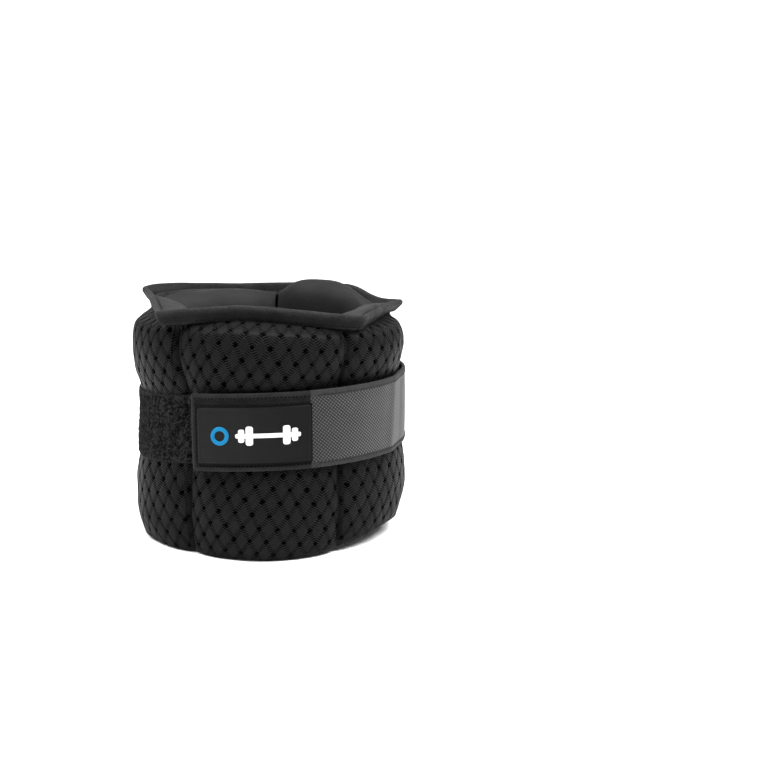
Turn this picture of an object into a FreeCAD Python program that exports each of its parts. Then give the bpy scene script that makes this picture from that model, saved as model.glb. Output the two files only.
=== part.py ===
"""Ankle cuff weight: a wrap-round cuff of five padded panels that holds five bags of steel shot.

Frame: +Z is the leg's axis, towards the knee. The origin is on that axis, half way up the cuff. The cuff's
front, where the strap's label shows, faces -Y. Angles are plan angles about +Z from +X, in degrees, and
lengths are millimetres.

Each panel fills a fifth of the circle. An outer mesh shell bulges about an axis of its own, a little out
from the leg, so that the cuff dips at each sewn seam. Behind it lies a shot bag in a neoprene pocket,
whose mouth a flap closes from the top rim with a strip of hook tape. Four of the five joins between
panels are sewn seams, and the fifth is where the cuff's two ends meet. The strap is sewn to the last
panel, crosses that opening and the next two panels, and fastens on a band of loop tape.
"""
import FreeCAD
import Part
import Sketcher
import math
import os

SHEET = "Sizes"

DIMENSIONS = {
    # the cuff as a whole
    "cuff_height": 125.0,
    "panel_half_angle": 36.0,
    "bulge_offset": 12.9,        # how far a panel's own bulge axis stands out from the leg's axis
    "panel_half_turn": 43.3,     # half of a panel's turn about its bulge axis
    "seam_end_cut": 1.5,         # degrees given up to the bound edge at the cuff's two ends
    # outer mesh shell, as radii from the leg's axis at the panel's middle
    "shell_wall": 3.0,
    "shell_waist": 66.6,
    "shell_foot": 65.0,
    "shell_crown": 63.5,
    "shell_top": 56.5,
    "waist_low": -24.0,
    "waist_high": 26.0,
    "foot_swell": 2.5,           # sagitta of the bulge below the waist
    "crown_swell": 4.5,          # sagitta of the bulge above the waist
    # bound edges
    "rim_inner": 59.5,
    "rim_outer": 64.5,
    "hem_inner": 58.0,
    "hem_outer": 61.7,
    "hem_height": 5.0,
    "end_inner": 62.0,
    "end_outer": 66.0,
    "end_turn": 1.3,
    # leg side: flap, hook, loop, pocket, bag, from the leg outwards
    "leg_radius": 39.0,
    "neoprene": 2.0,
    "tape": 0.8,
    "tape_gap": 0.3,
    "flap_low": -4.0,
    "flap_knee": 44.0,
    "flap_top": 57.2,
    "flap_crown": 51.5,
    "flap_half_angle": 27.5,
    "tape_half_angle": 25.0,
    "tape_low": -3.5,
    "tape_high": 4.5,
    "pocket_mouth": 6.0,
    "pocket_floor": -57.2,
    "pocket_back": 58.0,
    "pocket_half_angle": 34.4,
    "pocket_cavity_angle": 33.0,
    "pocket_slope": 7.0,
    "bag_clearance": 0.5,
    "bag_back": 60.6,
    "bag_low": -54.6,
    "bag_high": 50.0,
    "bag_half_angle": 32.4,
    "bag_shoulder": 6.0,
    "bag_skin": 0.8,
    "bag_skin_angle": 0.9,
    # loop band round the outside
    "band_width": 35.0,
    "band_thick": 1.2,
    "band_half_turn": 43.2,
    "band_rise": 2.5,            # the band and the strap sit a little above the cuff's middle
    # strap
    "strap_width": 38.0,
    "strap_inner": 69.9,
    "strap_thick": 1.8,
    "strap_root": 44.0,          # plan angle where the strap leaves its sewn end
    "strap_bend": -68.5,         # plan angle where the stiff tab begins
    "strap_end": -119.7,
    "strap_bend_gap": 0.3,
    "strap_tilt": 1.0,           # the strap climbs towards +X by this angle
    "strap_rise": 5.0,
    "anchor_rise": 5.0,
    "anchor_from": -24.0,
    "anchor_to": 10.0,
    "hook_pad_thick": 1.2,
    "hook_pad_width": 32.0,
    "hook_pad_from": -118.2,
    "hook_pad_to": -74.7,
    "label_thick": 1.6,
    "label_height": 28.4,
    "label_from": -115.3,
    "label_to": -69.9,
    "thread": 0.4,
    "thread_inset": 2.5,
}

# plan angle of each panel's middle, and the turns left out at an end of the cuff (towards -, towards +)
PANELS = {
    "front": (-90.0, 0, 0),
    "right": (-18.0, 0, 1),
    "back_right": (54.0, 1, 0),
    "back_left": (126.0, 0, 0),
    "left": (198.0, 0, 0),
}

# the part of each panel that carries loop tape, as shares of its half turn
LOOP_BANDS = {"front": (-1.0, 1.0), "right": (-1.0, 0.9), "left": (-1.0, 1.0), "back_left": (0.0, 1.0)}


class Size:
    """A length or angle that carries its own spreadsheet expression along with its value."""

    def __init__(self, value, text=None):
        self.value = float(value)
        self.text = text or "%.6g" % value

    def _with(self, other, sign, value):
        return Size(value, "(%s %s %s)" % (self.text, sign, other.text))

    def __add__(self, other):
        other = as_size(other)
        return self._with(other, "+", self.value + other.value)

    def __sub__(self, other):
        other = as_size(other)
        return self._with(other, "-", self.value - other.value)

    def __mul__(self, other):
        other = as_size(other)
        return self._with(other, "*", self.value * other.value)

    def __truediv__(self, other):
        other = as_size(other)
        return self._with(other, "/", self.value / other.value)

    def __neg__(self):
        return Size(0) - self


def as_size(number):
    return number if isinstance(number, Size) else Size(number)


def make_sheet(doc):
    """Puts the driving dimensions in a spreadsheet and returns them as Size objects by alias."""
    sheet = doc.addObject("Spreadsheet::Sheet", SHEET)
    for row, (alias, value) in enumerate(DIMENSIONS.items(), start=1):
        sheet.set("A%d" % row, alias)
        sheet.set("B%d" % row, "%.6g" % value)
        sheet.setAlias("B%d" % row, alias)
    doc.recompute()
    return {alias: Size(sheet.get(alias), "%s.%s" % (SHEET, alias)) for alias in DIMENSIONS}


def origin_plane(body, role):
    return next(f for f in body.Origin.OriginFeatures if f.Role == role)


def constrain(sketch, kind, geometry, point, size):
    """Fixes one coordinate of a sketch point and ties it to the sheet."""
    if abs(size.value) < 1e-9:
        axis = -2 if kind == "DistanceX" else -1
        sketch.addConstraint(Sketcher.Constraint("PointOnObject", geometry, point, axis))
        return
    index = sketch.addConstraint(Sketcher.Constraint(kind, -1, 1, geometry, point, size.value))
    sketch.setExpression("Constraints[%d]" % index, size.text)


def bent_side(start, end, sagitta):
    """An anticlockwise arc over the chord from start to end, and the end of it that lies at start."""
    along = end - start
    chord = along.Length
    right = FreeCAD.Vector(along.y, -along.x, 0) / chord
    radius = (chord * chord / 4 + sagitta * sagitta) / (2 * abs(sagitta))
    side = 1 if sagitta > 0 else -1
    center = (start + end) * 0.5 + right * (sagitta - side * radius)
    circle = Part.Circle(center, FreeCAD.Vector(0, 0, 1), radius)
    first, last = (start, end) if sagitta > 0 else (end, start)
    angles = [math.atan2(point.y - center.y, point.x - center.x) for point in (first, last)]
    return Part.ArcOfCircle(circle, *angles), (1 if sagitta > 0 else 2)


def draw_outline(sketch, corners):
    """Draws a closed outline. A corner is (x, y) or (x, y, sagitta): a sagitta bends the side that leaves it.

    A positive sagitta bends the side towards its right, seen along its direction.
    """
    count = len(corners)
    starts = []
    for i, corner in enumerate(corners):
        after = corners[(i + 1) % count]
        start = FreeCAD.Vector(corner[0].value, corner[1].value, 0)
        end = FreeCAD.Vector(after[0].value, after[1].value, 0)
        if len(corner) == 2:
            side, first = Part.LineSegment(start, end), 1
        else:
            side, first = bent_side(start, end, corner[2].value)
        sketch.addGeometry(side)
        starts.append(first)
    for i, corner in enumerate(corners):
        before = (i - 1) % count
        sketch.addConstraint(Sketcher.Constraint("Coincident", before, 3 - starts[before], i, starts[i]))
        constrain(sketch, "DistanceX", i, starts[i], corner[0])
        constrain(sketch, "DistanceY", i, starts[i], corner[1])
    for i, corner in enumerate(corners):
        if len(corner) == 3:
            after = corners[(i + 1) % count]
            run, rise = after[0] - corner[0], after[1] - corner[1]
            sagitta = corner[2] if corner[2].value > 0 else -corner[2]
            radius = (run * run + rise * rise + sagitta * sagitta * 4) / (sagitta * 8)
            index = sketch.addConstraint(Sketcher.Constraint("Radius", i, radius.value))
            sketch.setExpression("Constraints[%d]" % index, radius.text)


def sketch_on(body, plane, name, corners):
    sketch = body.newObject("Sketcher::SketchObject", name)
    sketch.AttachmentSupport = (origin_plane(body, plane), [""])
    sketch.MapMode = "FlatFace"
    draw_outline(sketch, corners)
    sketch.Visibility = False
    return sketch


def turned(doc, body, name, corners, half_turn, kind="PartDesign::Revolution"):
    """Turns an outline of (radius, height) corners about the body's Z axis, half_turn each way."""
    sketch = sketch_on(body, "XZ_Plane", name + "_outline", corners)
    doc.recompute()
    feature = body.newObject(kind, name)
    feature.Profile = sketch
    feature.ReferenceAxis = (origin_plane(body, "Z_Axis"), [""])
    feature.Midplane = True
    feature.Angle = half_turn.value * 2
    feature.setExpression("Angle", (half_turn * 2).text)
    body.Tip = feature
    doc.recompute()
    return feature


def new_body(doc, label):
    body = doc.addObject("PartDesign::Body", label)
    body.Label = label
    return body


def rectangle(low_x, low_y, high_x, high_y):
    return [(low_x, low_y), (high_x, low_y), (high_x, high_y), (low_x, high_y)]


def inward(corners, offset):
    """The same outline with its radii counted from the bulge axis."""
    return [(corner[0] - offset,) + tuple(corner[1:]) for corner in corners]


def about_leg(body, angle):
    """Turns a body drawn about the leg's axis to its plan angle."""
    body.Placement = FreeCAD.Placement(
        FreeCAD.Vector(0, 0, 0), FreeCAD.Rotation(FreeCAD.Vector(0, 0, 1), angle))


def about_bulge(body, size, panel_angle, turn, height=0.0):
    """Sets a body drawn about its panel's bulge axis on that axis, turned by turn from the panel's middle."""
    direction = math.radians(panel_angle)
    offset = size["bulge_offset"].value
    body.Placement = FreeCAD.Placement(
        FreeCAD.Vector(offset * math.cos(direction), offset * math.sin(direction), height),
        FreeCAD.Rotation(FreeCAD.Vector(0, 0, 1), panel_angle + turn))


def about_strap(body, size, angle):
    """Turns a body drawn about the leg's axis to its plan angle, then tips it so that it climbs towards +X."""
    tip = FreeCAD.Rotation(FreeCAD.Vector(0, 1, 0), -size["strap_tilt"].value)
    body.Placement = FreeCAD.Placement(
        FreeCAD.Vector(0, 0, size["strap_rise"].value),
        tip.multiply(FreeCAD.Rotation(FreeCAD.Vector(0, 0, 1), angle)))


def span(size, ends):
    """Half turn and middle turn, as Sizes, of a panel that gives up some of its turn at the cuff's ends."""
    at_minus, at_plus = ends
    cut = size["seam_end_cut"]
    half = size["panel_half_turn"] - cut * ((at_minus + at_plus) / 2.0)
    middle = cut.value * (at_minus - at_plus) / 2.0
    return half, middle


def shell(doc, size, panel):
    """The outer spacer-mesh skin: bulged above and below a waist that the strap draws in."""
    angle, at_minus, at_plus = PANELS[panel]
    wall = size["shell_wall"]
    floor = -(size["cuff_height"] / 2)
    waist, foot, crown = size["shell_waist"], size["shell_foot"], size["shell_crown"]
    low, high, top = size["waist_low"], size["waist_high"], size["shell_top"]
    corners = [
        (foot, floor, size["foot_swell"]),
        (waist, low),
        (waist, high, size["crown_swell"]),
        (crown, top),
        (crown - wall, top, -size["crown_swell"]),
        (waist - wall, high),
        (waist - wall, low, -size["foot_swell"]),
        (foot - wall, floor),
    ]
    body = new_body(doc, "shell_" + panel)
    half, middle = span(size, (at_minus, at_plus))
    turned(doc, body, "skin", inward(corners, size["bulge_offset"]), half)
    about_bulge(body, size, angle, middle)
    return body


def binding(doc, size, panel):
    """The bound edges: a rim on top, a hem tucked under the foot, and an upright strip at a cuff end."""
    angle, at_minus, at_plus = PANELS[panel]
    half_height = size["cuff_height"] / 2
    half, middle = span(size, (at_minus, at_plus))
    offset = size["bulge_offset"]
    solids = []
    strips = {
        "rim": rectangle(size["rim_inner"], size["shell_top"], size["rim_outer"], half_height),
        "hem": rectangle(size["hem_inner"], -half_height, size["hem_outer"], size["hem_height"] - half_height),
    }
    for name, corners in strips.items():
        body = new_body(doc, "%s_%s" % (name, panel))
        turned(doc, body, name, inward(corners, offset), half)
        about_bulge(body, size, angle, middle)
        solids.append(body)
    if at_minus or at_plus:
        side = at_plus - at_minus
        body = new_body(doc, "end_" + panel)
        corners = rectangle(size["end_inner"], size["hem_height"] - half_height, size["end_outer"], size["shell_top"])
        turned(doc, body, "end", inward(corners, offset), size["end_turn"] / 2)
        about_bulge(body, size, angle, side * (size["panel_half_turn"].value - size["end_turn"].value / 2))
        solids.append(body)
    return group(doc, "binding_" + panel, solids)


def group(doc, label, bodies):
    """Several separate solids under one node."""
    whole = doc.addObject("Part::Compound", label)
    whole.Label = label
    whole.Links = bodies
    return whole


def pocket(doc, size, panel):
    """A neoprene pouch: front wall, sloped floor and two side walls, open at the mouth and to the shell."""
    front = size["leg_radius"] + size["neoprene"] + size["tape"] * 2 + size["tape_gap"]
    floor, mouth, back, slope = (
        size["pocket_floor"], size["pocket_mouth"], size["pocket_back"], size["pocket_slope"])
    wall = size["neoprene"]
    outside = [(front, floor + slope), (front + slope, floor), (back, floor), (back, mouth), (front, mouth)]
    inside = [
        (front + wall, floor + slope + wall / 2),
        (front + slope + wall / 2, floor + wall),
        (back + 1, floor + wall),
        (back + 1, mouth + 1),
        (front + wall, mouth + 1),
    ]
    body = new_body(doc, "pocket_" + panel)
    turned(doc, body, "pouch", outside, size["pocket_half_angle"])
    turned(doc, body, "cavity", inside, size["pocket_cavity_angle"], "PartDesign::Groove")
    about_leg(body, PANELS[panel][0])
    return body


def bag_outline(size, skin):
    """The shot bag's (radius, height) outline, drawn in from its outside by skin."""
    front = size["leg_radius"] + size["neoprene"] * 2 + size["tape"] * 2 + size["tape_gap"] + size["bag_clearance"]
    near, far = front + skin, size["bag_back"] - skin
    low, high = size["bag_low"] + skin, size["bag_high"] - skin
    shoulder = size["bag_shoulder"]
    return [
        (near, low + shoulder), (near + shoulder, low), (far - shoulder, low), (far, low + shoulder),
        (far, high - shoulder), (far - shoulder, high), (near + shoulder, high), (near, high - shoulder),
    ]


def weight_bag(doc, size, panel):
    """The bag's woven skin, hollow for its filling."""
    body = new_body(doc, "weight_bag_" + panel)
    turned(doc, body, "outside", bag_outline(size, Size(0)), size["bag_half_angle"])
    inner_angle = size["bag_half_angle"] - size["bag_skin_angle"]
    turned(doc, body, "inside", bag_outline(size, size["bag_skin"]), inner_angle, "PartDesign::Groove")
    about_leg(body, PANELS[panel][0])
    return body


def steel_shot(doc, size, panel):
    """The filling, as one solid that fills the bag."""
    body = new_body(doc, "steel_shot_" + panel)
    inner_angle = size["bag_half_angle"] - size["bag_skin_angle"]
    turned(doc, body, "filling", bag_outline(size, size["bag_skin"]), inner_angle)
    about_leg(body, PANELS[panel][0])
    return body


def flap(doc, size, panel):
    """The neoprene flap that hangs from the rim over the bag's top and the pocket's mouth."""
    leg, wall = size["leg_radius"], size["neoprene"]
    low, knee, top, crown = size["flap_low"], size["flap_knee"], size["flap_top"], size["flap_crown"]
    corners = [
        (leg, low), (leg + wall, low), (leg + wall, knee - wall / 2),
        (crown + wall * 0.85, top - wall * 0.7), (crown, top), (leg, knee),
    ]
    body = new_body(doc, "flap_" + panel)
    turned(doc, body, "flap", corners, size["flap_half_angle"])
    about_leg(body, PANELS[panel][0])
    return body


def tape(doc, size, label, panel, inner):
    """A strip of hook or loop tape across a flap or a pocket."""
    body = new_body(doc, label + "_" + panel)
    corners = rectangle(inner, size["tape_low"], inner + size["tape"], size["tape_high"])
    turned(doc, body, "tape", corners, size["tape_half_angle"])
    about_leg(body, PANELS[panel][0])
    return body


def loop_band(doc, size, panel):
    """The outside band of loop tape that the strap's end fastens to."""
    angle = PANELS[panel][0]
    begin, end = LOOP_BANDS[panel]
    half_width = size["band_width"] / 2
    corners = rectangle(size["shell_waist"], -half_width, size["shell_waist"] + size["band_thick"], half_width)
    body = new_body(doc, "loop_band_" + panel)
    half = size["band_half_turn"] * ((end - begin) / 2.0)
    turned(doc, body, "band", inward(corners, size["bulge_offset"]), half)
    about_bulge(body, size, angle, size["band_half_turn"].value * (begin + end) / 2.0, size["band_rise"].value)
    return body


def strap_piece(doc, size, label, inner, thick, width, begin, end):
    """A curved strip of the strap between two plan angles."""
    half_width = width / 2
    corners = rectangle(inner, -half_width, inner + thick, half_width)
    body = new_body(doc, label)
    half = (end - begin) / 2
    turned(doc, body, "strip", corners, half)
    about_strap(body, size, (begin.value + end.value) / 2)
    return body


def strap(doc, size):
    """The webbing in two lengths that meet at the bend, with the hook pad under its end and the label on it."""
    inner, thick, width = size["strap_inner"], size["strap_thick"], size["strap_width"]
    root, bend, end, gap = (
        size["strap_root"], size["strap_bend"], size["strap_end"], size["strap_bend_gap"])
    pad = size["hook_pad_thick"]
    return [
        strap_piece(doc, size, "strap_web", inner, thick, width, bend + gap / 2, root),
        strap_piece(doc, size, "strap_tab", inner, thick, width, end, bend - gap / 2),
        strap_piece(doc, size, "hook_pad", inner - pad, pad, size["hook_pad_width"],
                    size["hook_pad_from"], size["hook_pad_to"]),
        strap_piece(doc, size, "label_patch", inner + thick, size["label_thick"], size["label_height"],
                    size["label_from"], size["label_to"]),
    ]


def strap_anchor(doc, size):
    """The strap's sewn end, flat on the shell of the last panel."""
    angle = PANELS["back_right"][0]
    half_width = size["strap_width"] / 2
    corners = rectangle(size["shell_waist"], -half_width, size["shell_waist"] + size["strap_thick"], half_width)
    body = new_body(doc, "strap_anchor")
    half = (size["anchor_to"] - size["anchor_from"]) / 2
    turned(doc, body, "end", inward(corners, size["bulge_offset"]), half)
    middle = (size["anchor_to"].value + size["anchor_from"].value) / 2
    about_bulge(body, size, angle, middle, size["anchor_rise"].value)
    return body


def anchor_stitching(doc, size):
    """The box of thread that holds the strap's sewn end: two level rows and two upright ones."""
    angle = PANELS["back_right"][0]
    thread, inset = size["thread"], size["thread_inset"]
    surface = size["shell_waist"] + size["strap_thick"]
    half_height = size["strap_width"] / 2 - inset
    half = (size["anchor_to"] - size["anchor_from"]) / 2
    row_half = half - Size(5.5)
    middle = (size["anchor_to"].value + size["anchor_from"].value) / 2 + 2.5
    row_width = Size(0.8)
    solids = []
    for name, low in (("upper_row", half_height), ("lower_row", -half_height - row_width)):
        body = new_body(doc, name)
        corners = rectangle(surface, low, surface + thread, low + row_width)
        turned(doc, body, name, inward(corners, size["bulge_offset"]), row_half)
        about_bulge(body, size, angle, middle, size["anchor_rise"].value)
        solids.append(body)
    for name, side in (("near_row", -1), ("far_row", 1)):
        body = new_body(doc, name)
        corners = rectangle(surface, -half_height, surface + thread, half_height)
        turned(doc, body, name, inward(corners, size["bulge_offset"]), Size(0.4))
        about_bulge(body, size, angle, middle + side * (row_half.value - 0.4), size["anchor_rise"].value)
        solids.append(body)
    return group(doc, "anchor_stitching", solids)


def build(doc):
    """Every sub-part that is written out, in order."""
    size = make_sheet(doc)
    hook_face = size["leg_radius"] + size["neoprene"]
    loop_face = hook_face + size["tape"] + size["tape_gap"]
    parts = []
    for panel in PANELS:
        parts += [
            shell(doc, size, panel),
            binding(doc, size, panel),
            pocket(doc, size, panel),
            weight_bag(doc, size, panel),
            steel_shot(doc, size, panel),
            flap(doc, size, panel),
            tape(doc, size, "flap_hook", panel, hook_face),
            tape(doc, size, "pocket_loop", panel, loop_face),
        ]
    parts += [loop_band(doc, size, panel) for panel in LOOP_BANDS]
    parts += strap(doc, size)
    parts += [strap_anchor(doc, size), anchor_stitching(doc, size)]
    doc.recompute()
    return parts


def check(doc, parts):
    """Stops on any failed object, or on a sub-part without a sound solid."""
    for thing in doc.Objects:
        if "Invalid" in thing.State or "Error" in thing.State:
            raise RuntimeError("%s failed: %s" % (thing.Name, thing.State))
    for part in parts:
        if part.Shape.isNull() or not part.Shape.isValid() or not part.Shape.Solids:
            raise RuntimeError("%s has no sound solid" % part.Label)


def write(parts):
    os.makedirs("parts", exist_ok=True)
    for name in os.listdir("parts"):
        os.remove(os.path.join("parts", name))
    for part in parts:
        part.Shape.exportStep(os.path.join("parts", part.Label + ".step"))
        print("%-24s %9.1f mm3" % (part.Label, part.Shape.Volume))


def main():
    doc = FreeCAD.newDocument("AnkleCuffWeight")
    parts = build(doc)
    check(doc, parts)
    write(parts)
    print("%d nodes" % len(parts))


main()
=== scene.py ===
import math

import bpy
import bmesh
import numpy as np
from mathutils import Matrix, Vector
from mathutils.bvhtree import BVHTree


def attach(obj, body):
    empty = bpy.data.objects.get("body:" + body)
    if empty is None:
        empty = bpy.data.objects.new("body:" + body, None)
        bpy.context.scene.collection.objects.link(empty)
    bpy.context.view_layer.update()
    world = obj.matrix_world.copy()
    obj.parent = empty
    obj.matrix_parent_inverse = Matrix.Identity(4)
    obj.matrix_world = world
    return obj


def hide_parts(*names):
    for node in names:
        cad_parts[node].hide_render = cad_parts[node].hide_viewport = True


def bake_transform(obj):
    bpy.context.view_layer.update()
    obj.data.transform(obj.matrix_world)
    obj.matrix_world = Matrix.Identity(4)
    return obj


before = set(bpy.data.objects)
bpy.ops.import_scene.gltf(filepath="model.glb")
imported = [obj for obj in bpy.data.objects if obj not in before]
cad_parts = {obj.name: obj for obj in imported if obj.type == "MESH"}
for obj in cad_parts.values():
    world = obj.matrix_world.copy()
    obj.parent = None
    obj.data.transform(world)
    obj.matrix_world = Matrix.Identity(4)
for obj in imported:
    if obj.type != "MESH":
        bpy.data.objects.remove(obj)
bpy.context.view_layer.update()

MM = 0.001

# Plan angles are degrees about +Z from +X, and lengths are millimetres until a mesh is made.
PANELS = {"front": -90.0, "right": -18.0, "back_right": 54.0, "back_left": 126.0, "left": 198.0}
BODY = {
    "front": "front_and_right", "right": "front_and_right", "left": "left_panel",
    "back_left": "back_left_panel", "back_right": "back_right_panel",
}
SEAM_HALF = 5.0         # a jointed seam keeps this many degrees each side for itself
# a jointed seam's plan angle, and the bodies before and after it
SEAMS = {
    "seam_front_left": (-126.0, "left_panel", "front_and_right"),
    "seam_back_left": (162.0, "back_left_panel", "left_panel"),
    "seam_back_right": (90.0, "back_right_panel", "back_left_panel"),
}
SEAM_SPANS = {seam: (middle - SEAM_HALF, middle + SEAM_HALF) for seam, (middle, _, _) in SEAMS.items()}
PANEL_SPANS = {
    "front": (-126.0 + SEAM_HALF, -54.0),
    "right": (-54.0, 17.2),
    "back_right": (18.8, 90.0 - SEAM_HALF),
    "back_left": (90.0 + SEAM_HALF, 162.0 - SEAM_HALF),
    "left": (162.0 + SEAM_HALF, 234.0 - SEAM_HALF),
}
SPANS = {**PANEL_SPANS, **SEAM_SPANS}
BAND_SPANS = {
    "front": PANEL_SPANS["front"], "right": (-54.0, 15.2), "left": PANEL_SPANS["left"],
    "back_left": (126.0, 162.0 - SEAM_HALF),
    "seam_front_left": SEAM_SPANS["seam_front_left"], "seam_back_left": SEAM_SPANS["seam_back_left"],
}
CUFF_ENDS = {"right": 1, "back_right": -1}      # +1 where the cuff ends towards higher plan angles

PANEL_TURN, HALF_PANEL = 72.0, 36.0
FLOOR_Z, RIM_Z, TOP_Z = -62.5, 56.5, 62.5
RIM_TALL = 7.4                  # height of the rim's binding
WAIST = 66.6                    # radius that the mesh's cloth is measured at
AXIS_OUT = 12.9                 # how far each panel's own axis is from the cuff's
SHELL_R, BINDING_R, STRAP_R, LINING_R = 67.0, 65.0, 71.0, 61.0      # radii that arcs are measured at
SKIP = 4                        # the back of a sheet has every fourth row and column
CELL_W, CELL_H = 8.2, 14.2      # the mesh's diamond cells
CELL = 1.0 / math.hypot(1 / CELL_W, 1 / CELL_H)
TICKS = 7                       # rungs along one side of a cell
GRAIN = [6.5, 4.0, 3.0, -2.0, -4.0]      # how far each panel's cloth is turned, in PANELS' order


# -------- numbers

def smooth(t):
    t = np.clip(t, 0.0, 1.0)
    return t * t * (3 - 2 * t)


def near(x, middle, reach):
    """1 at middle, falling off over reach."""
    return np.exp(-((x - middle) / reach) ** 2)


def arc(low, high, radius):
    return math.radians(high - low) * radius


def steps(length, size, multiple=SKIP):
    """How many samples give steps of about size, one more than a whole number of multiples."""
    return max(1, round(length / size / multiple)) * multiple + 1


def patch(low, high, foot, head, radius, size):
    """Grids of plan angle and height in steps of about size."""
    cols, rows = steps(arc(low, high, radius), size), steps(head - foot, size)
    return np.meshgrid(np.linspace(low, high, cols), np.linspace(foot, head, rows))


def coarse(*grids):
    return [grid[::SKIP, ::SKIP] for grid in grids]


def polar(radius, turn, height):
    """Points at a radius, a plan angle and a height."""
    a = np.radians(turn)
    return np.stack([radius * np.cos(a), radius * np.sin(a), height + 0 * a], -1)


def softened(xs, ys, sigma):
    """A smooth curve through a table of values."""
    grid = np.linspace(xs[0], xs[-1], 400)
    step = grid[1] - grid[0]
    reach = int(3 * sigma / step) + 1
    kernel = np.exp(-0.5 * (np.arange(-reach, reach + 1) * step / sigma) ** 2)
    values = np.pad(np.interp(grid, xs, ys), reach, mode="edge")
    values = np.convolve(values, kernel / kernel.sum(), mode="valid")
    return lambda x: np.interp(x, grid, values)


def softened_ring(xs, ys, sigma):
    """The same for a table of plan angles, all the way round."""
    grid = np.arange(0, 360, 0.5)
    values = np.interp(grid, np.mod(xs, 360), ys, period=360)
    kernel = np.exp(-0.5 * (np.minimum(grid, 360 - grid) / sigma) ** 2)
    kernel /= kernel.sum()
    values = np.real(np.fft.ifft(np.fft.fft(values) * np.fft.fft(kernel)))
    return lambda x: np.interp(x, grid, values, period=360)


def hashed(ix, iy, iz, seed):
    value = np.sin(ix * 127.1 + iy * 311.7 + iz * 74.7 + seed * 53.3) * 43758.5453
    return value - np.floor(value)


def noise(p, size, seed=0):
    """Value noise from -1 to 1 at points p (..., 3)."""
    q = p / size
    base = np.floor(q)
    f = smooth(q - base)
    total = 0.0
    for corner in np.ndindex(2, 2, 2):
        x, y, z = np.moveaxis(np.where(corner, f, 1 - f), -1, 0)
        total = total + x * y * z * hashed(*np.moveaxis(base + corner, -1, 0), seed)
    return total * 2 - 1


# -------- the cuff's outer form

body_radius = softened(
    [-62.5, -58, -51, -40, -29, -22, -18, 0, 18, 22, 28, 36, 43, 49, 54, 58],
    [67.0, 68.7, 70.2, 71.0, 70.5, 69.6, 68.3, 67.8, 67.9, 69.0, 70.8, 71.8, 71.6, 70.2, 67.4, 64.0], 1.6)
rim_radius = softened_ring(
    [-166, -160, -152, -145, -140, -135.4, -130, -124, -112, -100, -90, -80, -68, -56, -50, -44.7, -38, -30,
     -15, 0, 8, 15.5, 18, 24, 34, 48, 62, 76, 90, 104, 120, 136, 150, 162, 168, 174, 180, 188],
    [61.2, 61.6, 63.6, 66.6, 69.6, 74.2, 71.0, 67.4, 61.5, 59.5, 59.0, 59.5, 61.0, 65.4, 68.0, 70.9, 66.4,
     63.0, 60.9, 63.2, 66.9, 73.4, 73.0, 67.0, 62.5, 61.5, 60.5, 61.0, 62.0, 61.0, 60.5, 62.0, 66.0, 74.6,
     68.6, 65.2, 63.0, 61.5], 1.2)
rim_lift = softened_ring(
    [-134, -122, -100, -85, -65, -44, -20, 6, 15, 20, 28, 38, 47, 90, 110, 135, 147, 158, 163, 180, 205],
    [0, 2.2, 4.2, 3.2, 0.6, -3.0, -4.0, -5.0, -5.6, -6.4, -6.0, -2.6, -0.6, -2.2, -2.0, 0.2, 1.6, 2.0, 0.6,
     0.8, 0.2], 3.0)
hem_lift = softened_ring(
    [-150, -130, -90, -60, -50, -40, -30, -20, -5, 10, 17, 24, 40, 60, 90, 150, 190],
    [1.2, 0.2, 0.0, 1.2, 3.4, 6.2, 7.6, 7.6, 8.0, 9.2, 9.6, 6.0, 2.4, 0.4, 0.0, 0.4, 1.4], 4.0)
waist_lift = softened_ring(
    [-171, -150, -124, -95, -57, -12, 44, 90, 140, 170],
    [-1.6, -0.4, 2.8, 5.3, 5.9, 4.8, 3.8, 2.4, 0.0, -1.2], 10.0)
rim_flare = softened_ring(
    [-175, -150, -135, -115, -90, -62, -44.7, -25, 0, 14, 20, 32, 60, 110, 140, 162, 180],
    [16, 20, 30, 8, 4, 8, 32, 30, 44, 54, 46, 16, 6, 6, 14, 42, 20], 4.0)


def crease_turn(theta, s):
    """Angle from the nearest panel's middle. The front panel's seams lean: it widens to the rim's corners."""
    left = 3.3 * smooth((s - 22.0) / 26.0) - 1.6 * smooth((24.0 - s) / 30.0)
    right = -3.2 * smooth((s - 18.0) / 30.0) + 1.4 * smooth(-s / 36.0)
    lean = left * near(theta, -127.0, 15.0) + right * near(theta, -53.0, 15.0)
    return np.mod(theta + lean + 90.0 + HALF_PANEL, PANEL_TURN) - HALF_PANEL


def seam_gap(theta, s):
    """Angle to the nearest seam."""
    return HALF_PANEL - np.abs(crease_turn(theta, s))


def rim_foot(theta):
    """Radius and height of the foot of the rim's binding, which leans out by rim_flare."""
    lean = np.radians(rim_flare(theta))
    return rim_radius(theta) - RIM_TALL * np.sin(lean), TOP_Z - RIM_TALL * np.cos(lean) + rim_lift(theta)


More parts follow.
